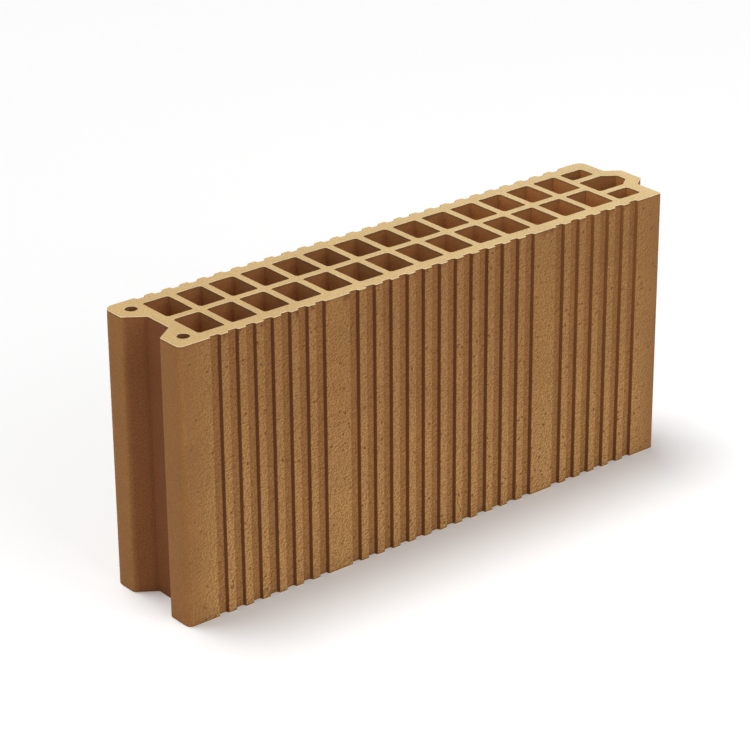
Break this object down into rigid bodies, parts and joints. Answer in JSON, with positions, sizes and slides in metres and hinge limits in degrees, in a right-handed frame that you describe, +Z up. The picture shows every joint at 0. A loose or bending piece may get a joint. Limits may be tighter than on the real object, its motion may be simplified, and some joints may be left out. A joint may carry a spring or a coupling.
{
  "type": "hollow clay block",
  "caption": "Fired clay partition block with rows of upright rectangular cells, scored long faces, and a tongue and recess on its ends for mortar-free upright joints.",
  "frame": {"origin": "middle of the bottom bed face, measured over the tongue", "axes": "+X along the wall towards the tongue, +Y towards the long face whose scoring is unbroken, +Z up"},
  "size_m": [0.5124, 0.1, 0.238],
  "materials": {
    "fired_clay": "unglazed, matte and gritty"
  },
  "bodies": {
    "root": {"clay_block": "fired_clay"}
  },
  "joints": []
}
